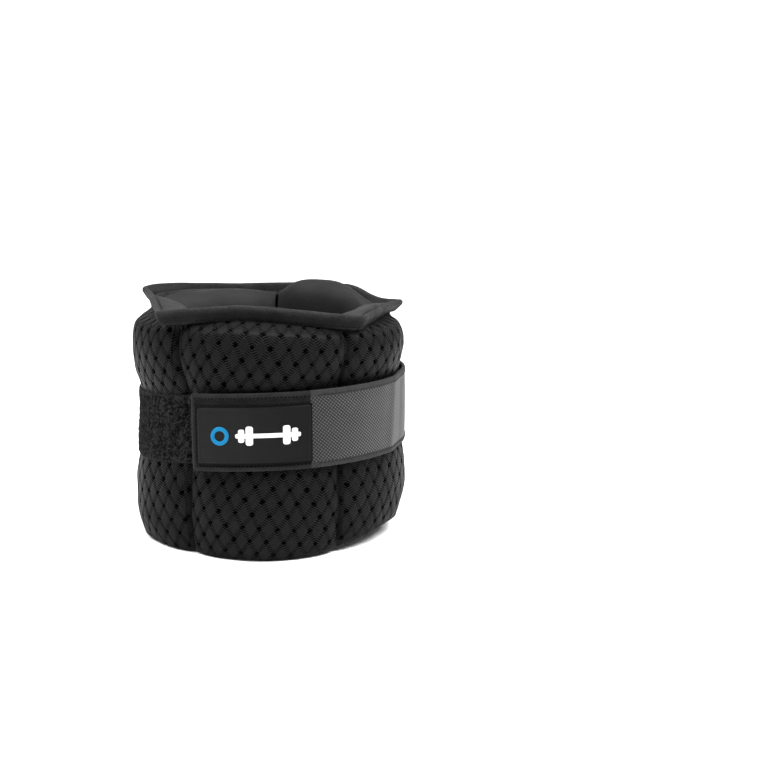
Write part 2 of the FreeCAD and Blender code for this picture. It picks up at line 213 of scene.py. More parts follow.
def form_radius(theta, s, valley=1.0):
    """Radius of the cuff's outer face, where s is the height before the rim and hem are lifted."""
    turn = np.radians(crease_turn(theta, s))
    rho = body_radius(s) - AXIS_OUT
    radius = AXIS_OUT * np.cos(turn) + np.sqrt(rho ** 2 - (AXIS_OUT * np.sin(turn)) ** 2)
    edge = seam_gap(theta, s)
    radius = radius - valley * (1.3 * near(edge, 0, 1.2) + 1.0 * near(edge, 0, 4.5))
    left_bulge = 0.9 + 1.0 * smooth((10.0 - s) / 20.0) + 0.7 * smooth((-s - 38.0) / 14.0)
    right_bulge = 1.5 * smooth((-s - 15.0) / 8.0) - 0.6 * smooth((s - 20.0) / 10.0)
    radius = radius + left_bulge * near(np.mod(theta, 360), 190.0, 36.0)
    radius = radius + right_bulge * near(theta, 1.0, 24.0)
    radius = radius - smooth((-s - 34.0) / 26.0) * 0.8 * near(theta, -22.0, 30.0)
    top = smooth((s - 49.5) / 7.5)
    return radius * (1 - top) + (rim_foot(theta)[0] - 0.2) * top


def form_point(theta, s, out=0.0, valley=1.0):
    """Points of the outer face (..., 3), out mm proud of it."""
    theta, s = np.broadcast_arrays(np.asarray(theta, float), np.asarray(s, float))
    radius = form_radius(theta, s, valley) + out
    height = (
        s + (rim_foot(theta)[1] - (TOP_Z - RIM_TALL)) * smooth((s - 18.0) / 38.0)
        + hem_lift(theta) * smooth((-s - 16.0) / 46.0) + waist_lift(theta) * smooth((58.0 - np.abs(s)) / 38.0)
    )
    p = polar(radius, theta, height)
    soft = smooth((np.abs(s) - 18.0) / 8.0) * smooth((56.5 - s) / 10.0)
    swell = 0.55 * noise(p, 17.0, 3) + 0.3 * noise(p, 8.0, 5)
    return p + polar(swell * soft, theta, 0.0)


def form_normals(theta, s):
    """Normals of the outer face, the same on both sides of a cut."""
    across = form_point(theta + 0.3, s) - form_point(theta - 0.3, s)
    up = form_point(theta, s + 0.3) - form_point(theta, s - 0.3)
    n = np.cross(across, up)
    return n / np.linalg.norm(n, axis=-1, keepdims=True)


def mesh_relief(u, v, p3, centre):
    """Height of the spacer mesh in mm, how lit it is, 0 in a hole to 1, and its place in the weave."""
    grain = np.radians(np.interp(np.mod(centre + 90.0, 360.0) - 90.0, list(PANELS.values()), GRAIN))
    u, v = u * np.cos(grain) - v * np.sin(grain), u * np.sin(grain) + v * np.cos(grain)
    u = u + 0.55 * noise(p3, 13.0, 11)
    v = v + 0.65 * noise(p3, 11.0, 12)
    p, q = u / CELL_W + v / CELL_H, u / CELL_W - v / CELL_H
    dp, dq = p - np.round(p), q - np.round(q)       # from the nearest diagonal of each family, in cells
    crossing = np.hypot(CELL_W / 2 * (dp + dq), CELL_H / 2 * (dp - dq))
    groove = near(np.minimum(np.abs(dp), np.abs(dq)) * CELL, 0, 1.15)
    hole = smooth((1.24 + 0.36 * noise(p3, 5.0, 13) - crossing) / 0.7)
    relief = 0.10 * (1 - groove) * (1 - hole) - 1.5 * hole
    return relief, 1 - hole, np.stack([u / CELL_W, v / CELL_H], -1)


# -------- meshes

def linked(name, data):
    obj = bpy.data.objects.new(name, data)
    bpy.context.scene.collection.objects.link(obj)
    return obj


def set_all(target, **values):
    for key, value in values.items():
        setattr(target, key, value)


def make_object(name, verts, faces, uvs=None, tone=None, sharp_from=None):
    """A smooth closed mesh, facing out. The borders of the faces from sharp_from on stay sharp."""
    mesh = bpy.data.meshes.new(name)
    mesh.from_pydata([tuple(v) for v in np.asarray(verts, float) * MM], [], faces)
    mesh.update()
    if uvs is not None:
        layer = mesh.uv_layers.new(name="weave")
        index = np.zeros(len(mesh.loops), np.int32)
        mesh.loops.foreach_get("vertex_index", index)
        layer.data.foreach_set("uv", np.asarray(uvs, np.float32)[index].ravel())
    if tone is not None:
        attribute = mesh.attributes.new("tone", "FLOAT", "POINT")
        attribute.data.foreach_set("value", np.asarray(tone, np.float32))
    mesh.polygons.foreach_set("use_smooth", [True] * len(mesh.polygons))
    if sharp_from is not None:
        start = mesh.polygons[sharp_from].loop_start
        edges = np.zeros(len(mesh.loops), np.int32)
        mesh.loops.foreach_get("edge_index", edges)
        sharp = np.zeros(len(mesh.edges), bool)
        sharp[edges[start:]] = True
        mesh.attributes.new("sharp_edge", "BOOLEAN", "EDGE").data.foreach_set("value", sharp)
    bm = bmesh.new()
    bm.from_mesh(mesh)
    bmesh.ops.recalc_face_normals(bm, faces=bm.faces)
    bm.to_mesh(mesh)
    bm.free()
    return linked(name, mesh)


def quads(index, flip=False):
    """The faces of a grid of vertex numbers."""
    a, b, c, d = index[:-1, :-1], index[:-1, 1:], index[1:, 1:], index[1:, :-1]
    return np.stack([a, d, c, b] if flip else [a, b, c, d], -1).reshape(-1, 4).tolist()


def borders(index):
    """The four sides of a grid of vertex numbers."""
    return [side.tolist() for side in (index[0], index[-1][::-1], index[:, -1], index[::-1, 0])]


def closed_sheet(name, front, back, uv=None, tone=None, sharp=True):
    """A closed form from a front grid (rows, columns, 3) and a back grid, which may have a part of its rows."""
    step = (len(front) - 1) // (len(back) - 1)
    fine = np.arange(front[..., 0].size).reshape(front.shape[:2])
    rear = fine.size + np.arange(back[..., 0].size).reshape(back.shape[:2])
    faces = quads(fine) + quads(rear, flip=True)
    walls = len(faces) if sharp else None
    for edge, rim in zip(borders(fine), borders(rear)):
        for k in range(len(rim) - 1):
            faces.append([rim[k], rim[k + 1]] + edge[k * step:(k + 1) * step + 1][::-1])
    if uv is not None:
        uv = np.concatenate([uv.reshape(-1, 2), uv[::step, ::step].reshape(-1, 2)])
    if tone is not None:
        tone = np.concatenate([tone.ravel(), np.full(rear.size, 0.8)])
    verts = np.concatenate([front.reshape(-1, 3), back.reshape(-1, 3)])
    return make_object(name, verts, faces, uv, tone, walls)


def tube_faces(count, around, capped=True):
    index = np.arange(count * around).reshape(count, around)
    faces = quads(np.concatenate([index, index[:, :1]], 1))
    return faces + [index[0][::-1].tolist(), index[-1].tolist()] if capped else faces


def tape(name, lines, u=0.0, v=0.0):
    """A closed sweep through lines, one for each point of its section. u runs along it and v round it."""
    rings = np.stack(lines, 1)
    faces = tube_faces(*rings.shape[:2])
    uv = np.stack(np.broadcast_arrays(np.reshape(u, (-1, 1)), np.reshape(v, (1, -1)), rings[..., 0])[:2], -1)
    return make_object(name, rings.reshape(-1, 3), faces, uv.reshape(-1, 2), sharp_from=len(faces) - 2)


def join(name, objects):
    """One mesh from several, under name."""
    bpy.ops.object.select_all(action="DESELECT")
    for obj in objects:
        obj.select_set(True)
    bpy.context.view_layer.objects.active = objects[0]
    bpy.ops.object.join()
    joined = bpy.context.view_layer.objects.active
    joined.name = joined.data.name = name
    return joined


# -------- materials

class Shader:
    """A material and short ways to add its nodes."""

    def __init__(self, name, **settings):
        self.material = bpy.data.materials.new(name)
        self.material.use_nodes = True
        self.tree = self.material.node_tree
        self.bsdf = next(n for n in self.tree.nodes if n.type == "BSDF_PRINCIPLED")
        for key, value in settings.items():
            self.bsdf.inputs[key.replace("_", " ")].default_value = value

    def node(self, kind, inputs=None, **settings):
        node = self.tree.nodes.new(kind)
        set_all(node, **settings)
        for key, value in (inputs or {}).items():
            self.put(value, node.inputs[key])
        return node

    def put(self, value, socket):
        if isinstance(value, bpy.types.NodeSocket):
            self.tree.links.new(value, socket)
        else:
            socket.default_value = value

    def math(self, operation, a, b=0.0, c=0.0):
        return self.node("ShaderNodeMath", {0: a, 1: b, 2: c}, operation=operation).outputs[0]

    def add(self, a, b):
        return self.math("ADD", a, b)

    def times(self, a, b):
        return self.math("MULTIPLY", a, b)

    def scaled(self, a, by, plus):
        return self.math("MULTIPLY_ADD", a, by, plus)

    def wave(self, a, period):
        return self.math("SINE", self.times(a, 2 * math.pi / period))

    def weave(self):
        """The cloth's own two directions."""
        uv = self.node("ShaderNodeUVMap", uv_map="weave").outputs[0]
        return self.node("ShaderNodeSeparateXYZ", {0: uv}).outputs[:2]

    def tone(self):
        return self.node("ShaderNodeAttribute", attribute_name="tone").outputs["Fac"]

    def place(self):
        return self.node("ShaderNodeTexCoord").outputs["Object"]

    def noise(self, scale, detail=3.0, rough=0.5):
        inputs = {"Vector": self.place(), "Scale": scale, "Detail": detail, "Roughness": rough}
        return self.node("ShaderNodeTexNoise", inputs).outputs["Fac"]

    def fade(self, value, low, high):
        """0 at low, 1 at high, smooth between; low may be the larger."""
        inputs = {0: value, 1: min(low, high), 2: max(low, high)}
        rise = self.node("ShaderNodeMapRange", inputs, interpolation_type="SMOOTHSTEP").outputs[0]
        return rise if low < high else self.math("SUBTRACT", 1.0, rise)

    def mix(self, fac, a, b):
        """A mix of two colours; a number is a grey."""
        a, b = (grey(c) if isinstance(c, float) else c for c in (a, b))
        return self.node("ShaderNodeMix", {0: fac, 6: a, 7: b}, data_type="RGBA").outputs[2]

    def color(self, value):
        self.put(value, self.bsdf.inputs["Base Color"])

    def rough(self, value):
        self.put(value, self.bsdf.inputs["Roughness"])

    def bump(self, height, strength, distance):
        inputs = {"Strength": strength, "Distance": distance, "Height": height}
        self.put(self.node("ShaderNodeBump", inputs).outputs[0], self.bsdf.inputs["Normal"])
        return self.material


def grey(value):
    return (value, value, value, 1)


def mesh_fabric():
    """Black spacer mesh: holes at the crossings, ladders of slots along the diagonals, combed ridges between. The
    rungs between the slots carry a painted highlight, and the holes and slots carry painted shade.
    """
    s = Shader("mesh_fabric", Roughness=0.5)
    tone = s.tone()
    x, y = s.weave()
    side = math.hypot(CELL_W, CELL_H) / 2
    across, up = CELL_W ** 2 / 4 / side ** 2, CELL_H ** 2 / 4 / side ** 2
    slots, rung_shading = [], []
    for sign in (1, -1):
        line = s.scaled(y, sign, x)
        part = s.math("SUBTRACT", s.math("FRACT", s.add(line, 0.5)), 0.5)
        off = s.times(s.math("ABSOLUTE", part), CELL)
        along = s.scaled(y, -sign * 2 * up, s.times(x, 2 * across))
        tick = s.math("COSINE", s.scaled(along, 2 * math.pi * TICKS, math.pi))
        slots.append(s.times(s.fade(off, 1.45, 0.9), s.fade(tick, -0.2, 0.5)))
        rung_shading.append(s.times(tick, s.fade(off, 2.4, 1.0)))
    slot = s.math("MAXIMUM", *slots)
    comb = s.math("SINE", s.times(x, 2 * math.pi * 9))
    fuzz = s.noise(1400.0)
    grain = s.scaled(comb, 0.09, s.scaled(fuzz, 1.1, -0.38))
    # painted highlight on the rungs between the slots near each diagonal, and painted shade on the slots
    lit = s.mix(s.scaled(s.add(*rung_shading), -0.42, grain), s.mix(s.noise(60.0), 0.0018, 0.0040), 0.0145)
    # holes and slots are coloured near black: painted shade inside the openings
    s.color(s.mix(tone, 0.0016, s.mix(s.times(slot, 0.80), lit, 0.0004)))
    shine = s.times(s.times(s.math("SUBTRACT", 1.0, slot), tone), 0.05)
    s.put(shine, s.bsdf.inputs["Specular IOR Level"])
    height = s.add(s.times(comb, 0.12), s.times(fuzz, 0.8))
    return s.bump(s.scaled(slot, -1.3, height), 0.8, 0.0003)


def knit_tape(name, low, high, pitch=0.55, fold_highlight=1.0):
    """A close knit with a soft nap. The last argument is a painted highlight: how much lighter the colour is made
    where the tape folds over an edge.
    """
    s = Shader(name, Roughness=0.7, Sheen_Weight=0.02, Sheen_Roughness=0.5, Specular_IOR_Level=0.05)
    x, y = s.weave()
    knit = s.times(s.wave(x, pitch), s.wave(y, pitch))
    fine = s.noise(1150.0, rough=0.7)
    worn = s.scaled(fine, 1.6, s.scaled(s.noise(110.0, 4.0), 1.0, -0.8))
    colour = s.mix(worn, low, high)
    # painted highlight: the colour is made lighter along the tape's fold
    if fold_highlight != 1.0:
        colour = s.mix(s.fade(y, 3.5, 7.0), colour, s.mix(worn, low * fold_highlight, high * fold_highlight))
    s.color(colour)
    return s.bump(s.scaled(knit, 0.3, fine), 0.5, 0.0002)


def neoprene():
    """Foam rubber with a smooth jersey face that catches light along its swells."""
    s = Shader("neoprene", Roughness=0.5, Sheen_Weight=0.015, Sheen_Roughness=0.4, Specular_IOR_Level=0.14)
    swells = s.noise(42.0)
    fine = s.noise(1300.0, rough=0.7)
    s.color(s.mix(s.scaled(fine, 1.5, s.scaled(swells, 0.5, -0.5)), 0.0015, 0.0108))
    s.rough(s.scaled(swells, 0.12, 0.56))
    return s.bump(fine, 0.7, 0.00025)


def webbing():
    """Grey ribbed webbing: its ground is painted dark where the tone is low, painted shade between its floats and
    beside the tab.
    """
    s = Shader("webbing", Roughness=0.45, Sheen_Weight=0.01, Sheen_Roughness=0.4, Specular_IOR_Level=0.16)
    s.color(s.mix(s.tone(), 0.0015, s.mix(s.noise(70.0), 0.074, 0.118)))
    return s.bump(s.noise(2600.0, 2.0), 0.4, 0.00012)


def pile(name, low, high):
    """Brushed loops: no shine, dark between tufts where the tone is low: painted shade in the hollows."""
    s = Shader(name, Roughness=0.95, Sheen_Weight=0.0, Specular_IOR_Level=0.05)
    fine = s.noise(2100.0, rough=0.7)
    tufts = s.node("ShaderNodeTexVoronoi", {"Vector": s.place(), "Scale": 1100.0}).outputs["Distance"]
    s.color(s.mix(s.times(s.tone(), s.scaled(fine, 4.2, -1.5)), low, high))
    return s.bump(s.add(fine, tufts), 0.9, 0.0005)


def rubber(name, low, high):
    """Moulded rubber with a fine matt grain."""
    s = Shader(name, Roughness=0.4, Specular_IOR_Level=0.05)
    grain = s.noise(2600.0, 2.0)
    s.color(s.mix(s.tone(), 0.001, s.mix(s.noise(60.0), low, high)))
    s.rough(s.scaled(grain, 0.2, 0.4))
    return s.bump(grain, 0.18, 0.0001)


def ink(name, colour):
    s = Shader(name, Roughness=0.5, Specular_IOR_Level=0.08)
    grain = s.noise(2400.0, 2.0)
    s.color(s.mix(grain, (*(0.94 * c for c in colour), 1), (*colour, 1)))
    return s.bump(grain, 0.1, 0.00005)


def thread(name, value):
    """Twisted yarn."""
    s = Shader(name, Roughness=0.6, Specular_IOR_Level=0.05)
    ply = s.noise(3000.0, 2.0)
    s.color(s.mix(ply, value * 0.6, value * 1.3))
    return s.bump(ply, 0.5, 0.00015)


def nylon(pitch=0.7):
    """Plain close weave of the shot bags."""
    s = Shader("nylon", Roughness=0.55, Specular_IOR_Level=0.2)
    x, y = s.weave()
    s.color(s.mix(s.noise(60.0), 0.010, 0.020))
    return s.bump(s.times(s.wave(x, pitch), s.wave(y, pitch)), 0.5, 0.0002)


MESH = mesh_fabric()
# the rim's binding gets a painted highlight along its folded top
BINDING = knit_tape("edge_tape", 0.002, 0.010, fold_highlight=2.4)
STRAP_EDGE = knit_tape("strap_edge_tape", 0.014, 0.034)
TAB_EDGE = knit_tape("tab_edge_tape", 0.006, 0.018)
TAB_CLOTH = knit_tape("tab_cloth", 0.003, 0.0115, 1.0)
NEOPRENE = neoprene()
WEBBING = webbing()
LOOP = pile("loop_pile", 0.0003, 0.034)
HOOK = pile("hook_tape", 0.003, 0.020)
RUBBER = rubber("label_rubber", 0.007, 0.011)
WHITE = ink("white_ink", (0.70, 0.70, 0.70))
BLUE = ink("blue_ink", (0.004, 0.14, 0.30))
THREAD = thread("stitch_thread", 0.0035)
FLAP_THREAD = thread("flap_thread", 0.026)
DARK_THREAD = thread("dark_stitch_thread", 0.0004)
NYLON = nylon()


# -------- what the pieces are

def finish_piece(obj, body, material, slot, *nodes):
    """Gives a piece its material, the nodes it stands for, and its body if one is given; slot is not used."""
    obj.data.materials.clear()
    obj.data.materials.append(material)
    if nodes:
        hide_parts(*nodes)
    if body:
        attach(obj, body)


def blend_across(obj):
    """Bakes the transform of a piece that lies between two bodies into its mesh."""
    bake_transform(obj)


def lay_piece(obj, place, material, slot, node=None):
    """Finishes a piece that lies along the cuff: it's on its panel, or lies across its seam on no body."""
    nodes = [node + place] if node and place in PANELS else []
    finish_piece(obj, BODY.get(place), material, slot, *nodes)
    if place in SEAMS:
        blend_across(obj)


# -------- outer shells

def shell_piece(name, low, high):
    """The spacer mesh between two plan angles, closed behind, 3 mm thick."""
    theta, s = patch(low, high, FLOOR_Z + 0.4, RIM_Z - 0.3, SHELL_R, 0.45)
    p, n = form_point(theta, s), form_normals(theta, s)
    centre = np.round((theta + 90.0) / PANEL_TURN) * PANEL_TURN - 90.0
    u = np.radians(theta - centre) * WAIST
    rise = np.linalg.norm(np.diff(p, axis=0), axis=-1)
    climb = np.concatenate([np.zeros((1, s.shape[1])), np.cumsum(rise, axis=0)])
    middle = np.argmin(np.abs(s[:, 0]))
    relief, tone, uv = mesh_relief(u, climb - climb[middle] + s[middle, 0], p, centre)
    edge = seam_gap(theta, s)
    relief = relief * (smooth(edge / 2.2) * smooth((s - FLOOR_Z - 4.0) / 3.0))
    back = form_point(*coarse(theta, s), out=-2.6)
    # the tone is painted darker within about 1.6 degrees of each seam: painted shade in the seam's valley
    return closed_sheet(name, p + n * relief[..., None], back, uv, tone * (0.6 + 0.4 * smooth(edge / 1.6)))


def shells():
    for place, (low, high) in SPANS.items():
        obj = shell_piece("mesh_" + place, low, high)
        lay_piece(obj, place, MESH, "spacer_mesh", "shell_")


# -------- bound edges

def fold_section(width, height):
    """Section of a folded tape, as (out, up) points from its outer foot: straight sides, round top."""
    radius = width / 2
    top = [(radius * math.cos(a), height - radius + radius * math.sin(a)) for a in np.linspace(0, math.pi, 10)]
    side = [(radius * 0.92, 0.0), (radius * 1.08, height * 0.3)]
    return np.array(side + top + [(-out, up) for out, up in side[::-1]])


def rim_point(theta, out, up):
    """Points of the rim's binding: up along its lean, and out across it."""
    lean = np.radians(rim_flare(theta))
    foot, base = rim_foot(theta)
    radius = foot + out * np.cos(lean) + up * np.sin(lean)
    return polar(radius, theta, base - out * np.sin(lean) + up * np.cos(lean))


def ring_angles(low, high, radius):
    return np.linspace(low, high, steps(arc(low, high, radius), 0.6, 1))


def rim_ring(name, low, high):
    """The top rim's binding between two plan angles."""
    theta = ring_angles(low, high, BINDING_R)
    section = fold_section(3.6, RIM_TALL)
    lines = []
    for out, up in section:
        pinch = 0.14 * noise(np.stack([theta * 0.5, 0 * theta + up, 0 * theta], -1), 1.3, 71) * (up > 1)
        lines.append(rim_point(theta, out + pinch, up))
    round_it = np.cumsum(np.hypot(*np.diff(section, axis=0, prepend=section[:1]).T))
    return tape(name, lines, np.radians(theta) * BINDING_R, round_it)


HEM_SECTION = [(0.4, 5.0), (1.0, 3.4), (0.9, 1.7), (0.2, 0.5), (-1.2, 0.0), (-3.2, 0.0), (-4.6, 0.7), (-5.0, 2.4),
               (-4.9, 5.4), (-3.0, 5.8)]


def hem_ring(name, low, high):
    """The hem's binding: it wraps the shell's foot, most of it turned under."""
    theta = ring_angles(low, high, BINDING_R)
    foot = form_radius(theta, np.full_like(theta, FLOOR_Z + 2.0), valley=0.6)
    lines = [polar(foot + out - 1.1, theta, FLOOR_Z + up + hem_lift(theta)) for out, up in HEM_SECTION]
    return tape(name, lines, np.radians(theta) * BINDING_R, np.arange(len(lines)) * 1.7)


def end_strip(name, theta, side):
    """The upright binding at a cuff end."""
    s = np.linspace(FLOOR_Z + 2.0, RIM_Z + 1.5, 160)
    lines = []
    for turn in np.linspace(0, 2 * math.pi, 14, endpoint=False):
        angle = theta - side * 1.2 + side * np.degrees(1.9 * math.cos(turn) / 66.0)
        lines.append(form_point(angle, s, out=3.0 * math.sin(turn) - 2.2))
    return tape(name, lines, s, np.arange(len(lines)) * 1.1)


def bindings():
    for place, (low, high) in SPANS.items():
        parts = [rim_ring("rim_" + place, low, high), hem_ring("hem_" + place, low, high)]
        if place in CUFF_ENDS:
            side = CUFF_ENDS[place]
            parts.append(end_strip("end_" + place, high if side > 0 else low, side))
        if place in PANELS:
            parts = [join("edge_binding_" + place, parts)]
        for part in parts:
            lay_piece(part, place, BINDING, "edge_binding", "binding_")


# -------- stitches

# a stitch's rings: share of its length, width and height in radii
STITCH_RINGS = ((0.0, 0.25, -0.35), (0.18, 0.85, 0.15), (0.5, 1.0, 0.35), (0.82, 0.85, 0.15), (1.0, 0.25, -0.35))
STITCH_SIDES = 6
STITCH_FACES = tube_faces(len(STITCH_RINGS), STITCH_SIDES)


def capsule(start, end, radius, up):
    """Vertices and faces of one stitch: a flattened grain that dips at both ends."""
    along = end - start
    length = np.linalg.norm(along)
    along = along / length
    side = np.cross(along, up)
    side = side / max(np.linalg.norm(side), 1e-9)
    up = np.cross(side, along)
    verts = []
    for t, width, lift in STITCH_RINGS:
        centre = start + along * length * t + up * radius * lift
        for k in range(STITCH_SIDES):
            a = 2 * math.pi * k / STITCH_SIDES
            verts.append(centre + (side * math.cos(a) + up * math.sin(a) * 0.8) * radius * width)
    return verts, STITCH_FACES


def merged(parts):
    """One list of vertices and one of faces from several."""
    verts, faces = [], []
    for v, f in parts:
        faces += [[i + len(verts) for i in face] for face in f]
        verts += v
    return verts, faces


def stitch_row(points, ups, pitch=3.0, fill=0.72, radius=0.32, slant=0.0):
    """Stitches along a line of points (n, 3) in mm."""
    points, ups = np.asarray(points), np.asarray(ups)
    distance = np.concatenate([[0], np.cumsum(np.linalg.norm(np.diff(points, axis=0), axis=1))])
    count = max(1, int(distance[-1] / pitch))

    def at(values, d):
        return np.array([np.interp(d, distance, values[:, i]) for i in range(3)])

    row = []
    for k in range(count):
        a, b = ((k + 0.5 + side * fill / 2) * distance[-1] / count for side in (-1, 1))
        start, end, up = at(points, a), at(points, b), at(ups, (a + b) / 2)
        lean = np.cross(up, end - start) * slant * 0.5
        row.append(capsule(start - lean, end + lean, radius, up))
    return merged(row)


def stitches(name, rows, body, material, *nodes):
    finish_piece(make_object(name, *merged(rows)), body, material, "thread", *nodes)


def binding_stitches():
    for panel, (low, high) in PANEL_SPANS.items():
        theta = np.linspace(low + 0.3, high - 0.3, 80)
        row = stitch_row(rim_point(theta, 1.85, 1.4), polar(1.0, theta, 0.0), pitch=2.8, radius=0.26)
        stitches("rim_stitch_" + panel, [row], BODY[panel], THREAD)


# -------- loop band

BAND_HALF = 17.5


def band_piece(name, low, high):
    """The band of loop pile round the waist, with a thin bound line along both edges."""
    theta, s = patch(low, high, -BAND_HALF, BAND_HALF, SHELL_R, 0.5)
    p, n = form_point(theta, s, out=1.15, valley=0.8), form_normals(theta, s)
    tuft = 0.44 * noise(p, 0.8, 21) + 0.12 * noise(p, 1.9, 22) + 0.08 * noise(p, 6.0, 23)
    inside = BAND_HALF - np.abs(s)
    border = smooth(inside / 1.6)
    relief = tuft * border + 0.5 * (np.sqrt(np.clip(inside, 0, 1)) - 1)
    back = form_point(*coarse(theta, s), out=-0.4, valley=0.8)
    # the tone follows the tufts' height, painted shade in the hollows between them; the bound line along each
    # edge has its own lighter tone
    tone = np.clip(0.44 + tuft * 1.6, 0, 1) ** 1.2 * border + 0.62 * (1 - border)
    uv = np.stack([np.radians(theta) * SHELL_R, s], -1)
    return closed_sheet(name, p + n * relief[..., None], back, uv, tone)


def loop_bands():
    for place, (low, high) in BAND_SPANS.items():
        obj = band_piece("loop_" + place, low, high)
        lay_piece(obj, place, LOOP, "loop_pile", "loop_band_")


# -------- strap

STRAP_IN, STRAP_OUT, STRAP_HALF = 69.9, 71.7, 19.8
EDGE_TAPE = 3.1                                 # width of the tape that binds the strap's edges
CLOTH_HALF = STRAP_HALF - EDGE_TAPE + 0.6
BORDER = STRAP_HALF - EDGE_TAPE + 0.55          # height of the border stitches
ROOT, ROOT_HALF, SEWN_END = 42.0, 5.0, 62.0     # plan angles: the strap's hinge, its bend, its sewn end
BEND, BEND_HALF, END = -68.5, 1.5, -119.7       # the tab's hinge, its bend, its free end
TAB_STOP, RUN_START, RUN_STOP = BEND - BEND_HALF, BEND + BEND_HALF, ROOT - ROOT_HALF
PAD_LOW, PAD_HIGH, PAD_HALF, PAD_R = -118.2, -74.7, 16, 68.85
BOX_LOW, BOX_HIGH, BOX_HALF = 47.5, 60.0, 14.5  # the box of stitching at the sewn end


def strap_wave(theta, h):
    """The strap isn't a true cylinder: it cups a little, ripples near its root and folds once in front."""
    cup = -0.25 * (h / STRAP_HALF) ** 2
    ripple = 0.35 * np.sin(np.radians(theta) * 9.0 + 0.5)
    ripple = ripple * smooth((theta + 60) / 40.0) * smooth((40 - theta) / 10.0)
    slanted = theta - 0.12 * h
    return cup + ripple + 0.7 * near(slanted, -25.0, 3.2) - 0.5 * near(slanted, -14.0, 4.0)


def strap_points(theta, h, radius):
    return polar(radius + strap_wave(theta, h), theta, h + waist_lift(theta))


def twill(u, v):
    """Relief and tone of the webbing: slanting floats in staggered rows, u along and v across, mm. The tone
    follows the weave's pattern, with painted shade in the hollows between floats and beside the tab.
    """
    lean = math.radians(40)
    a = (u * math.sin(lean) + v * math.cos(lean)) / 1.28
    b = (u * math.cos(lean) - v * math.sin(lean)) / 1.5
    bead = (0.5 + 0.5 * np.cos(2 * np.pi * a)) * (0.62 + 0.38 * np.cos(2 * np.pi * b))
    shade = 0.66 + 0.42 * smooth((u / STRAP_R + 1.25) / 0.75)       # painted shade: darker beside the tab
    return 0.32 * bead, np.clip((bead * 1.4 - 0.14) * shade, 0, 1)


def edge_section(thick):
    """Section of the strap's edge tape as (out, across) points; thick is half its thickness."""
    side = [(-thick * 0.82, 0.0), (-thick, 0.6), (-thick, EDGE_TAPE - 0.9), (-thick * 0.72, EDGE_TAPE - 0.25)]
    return side + [(0.0, EDGE_TAPE)] + [(-out, across) for out, across in side[::-1]]


def strap_edge(name, low, high, side):
    """The tape that binds one long edge of the strap."""
    theta = np.linspace(low, high, steps(arc(low, high, STRAP_R), 0.7, 1))
    outside, inside = STRAP_OUT + 0.15, STRAP_IN - 0.1
    section = edge_section((outside - inside) / 2)
    lines = []
    for out, across in section:
        h = side * (STRAP_HALF - EDGE_TAPE + across)
        lines.append(strap_points(theta, h, (outside + inside) / 2 + out + 0.06 * np.sin(theta * 11)))
    return tape(name, lines, np.radians(theta) * STRAP_R, [across for _, across in section])


def strap_end_tape(name):
    """The tape folded over the strap's free end."""
    h = np.linspace(-STRAP_HALF + 0.3, STRAP_HALF - 0.3, 60)
    thick, middle = (STRAP_OUT - STRAP_IN) / 2 + 0.15, (STRAP_OUT + STRAP_IN) / 2
    lines = []
    for turn in np.linspace(0, 2 * math.pi, 12, endpoint=False):
        angle = END + 1.2 + np.degrees(1.5 * math.cos(turn) / STRAP_R)
        lines.append(strap_points(np.full_like(h, angle), h, middle + thick * math.sin(turn)))
    return tape(name, lines, h, np.arange(len(lines)) * 0.8)


def strap_length(name, low, high, body, cloth, edging, *nodes, ends=()):
    """A length of the strap, and as a piece of its own the tape that binds its edges and any ends."""
    theta, h = patch(low, high, -CLOTH_HALF, CLOTH_HALF, STRAP_R, 0.28)
    u = np.radians(theta) * STRAP_R
    relief, tone = twill(u, h)
    outer = strap_points(theta, h, STRAP_OUT - 0.35 + relief)
    back = strap_points(*coarse(theta, h), STRAP_IN + 0.25)
    sheet = closed_sheet(name, outer, back, np.stack([u, h], -1), tone)
    edges = [strap_edge("edge", low, high, side) for side in (-1, 1)]
    trim = join(name.split("_")[1] + "_edge_tape", edges + [bind("end") for bind in ends])
    finish_piece(sheet, body, cloth, "webbing", *nodes)
    finish_piece(trim, body, edging, "webbing")
    return sheet, trim


def strap_row(theta, h, **looks):
    """Stitches just proud of the strap."""
    theta, h = np.broadcast_arrays(theta, h)
    return stitch_row(strap_points(theta, h, STRAP_OUT + 0.12), polar(1.0, theta, 0.0), **looks)


def border_rows(low, high, **looks):
    return [strap_row(np.linspace(low, high, 120), side * BORDER, **looks) for side in (-1, 1)]


